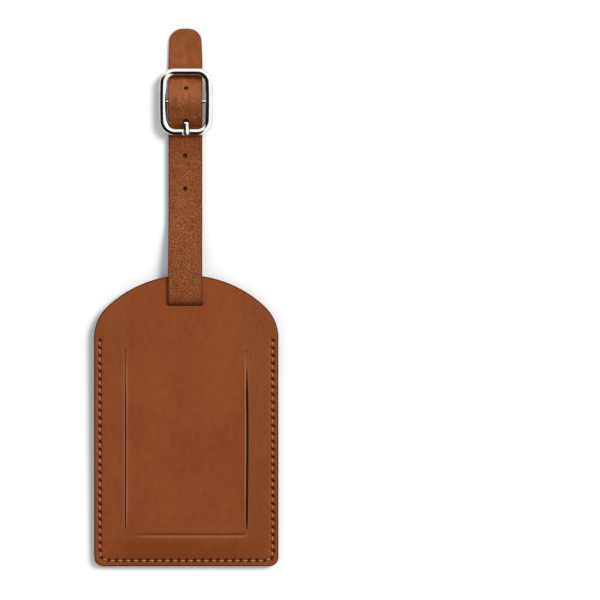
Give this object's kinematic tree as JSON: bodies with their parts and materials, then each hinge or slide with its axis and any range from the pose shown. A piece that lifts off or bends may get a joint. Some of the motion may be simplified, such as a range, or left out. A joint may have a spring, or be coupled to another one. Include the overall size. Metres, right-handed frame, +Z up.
{
  "type": "luggage tag",
  "caption": "Flat arched luggage tag of two sewn leather panels with a card pocket behind two slits, and a looped strap closed by a small centre-bar buckle.",
  "frame": {"origin": "on the table under the middle of the tag's whole length and width, the tag lying flat with its slit side up", "axes": "+X to the right, +Y along the tag from the body's bottom edge towards the strap's tip, +Z up out of the table"},
  "size_m": [0.07, 0.2048, 0.0057],
  "materials": {
    "panel_leather": "fine pebbled grain, satin",
    "strap_leather": "coarse pebbled grain, satin",
    "stiffener": "matt fibre board",
    "card_stock": "matt card",
    "thread": "twisted polyester",
    "polished_metal": "polished nickel plate"
  },
  "bodies": {
    "body": {"front_panel": "panel_leather", "stiffener_board": "stiffener", "back_panel": "panel_leather", "seam_needle_thread": "thread", "seam_bobbin_thread": "thread", "strap_slot_loop": "strap_leather"},
    "card": {"address_card": "card_stock"},
    "strap": {"strap_front_strand": "strap_leather", "strap_back_strand": "strap_leather", "fold_stitching": "thread"},
    "buckle": {"buckle_frame": "polished_metal", "centre_bar": "polished_metal"},
    "prong": {"prong": "polished_metal"}
  },
  "joints": [
    {"name": "strap_bend", "type": "hinge", "parent": "body", "child": "strap", "pos_m": [0, 0.01183, 0.0024], "axis": [1, 0, 0], "range_deg": [-90, 90]},
    {"name": "buckle_tilt", "type": "hinge", "parent": "strap", "child": "buckle", "pos_m": [0, 0.074, 0.00315], "axis": [-1, 0, 0], "range_deg": [0, 3]},
    {"name": "prong_swing", "type": "hinge", "parent": "buckle", "child": "prong", "pos_m": [0, 0.074, 0.00315], "axis": [-1, 0, 0], "range_deg": [0, 3]},
    {"name": "card_slide", "type": "slide", "parent": "body", "child": "card", "axis": [0, 0.9999, 0.0114], "range_m": [0, 0.015]}
  ]
}
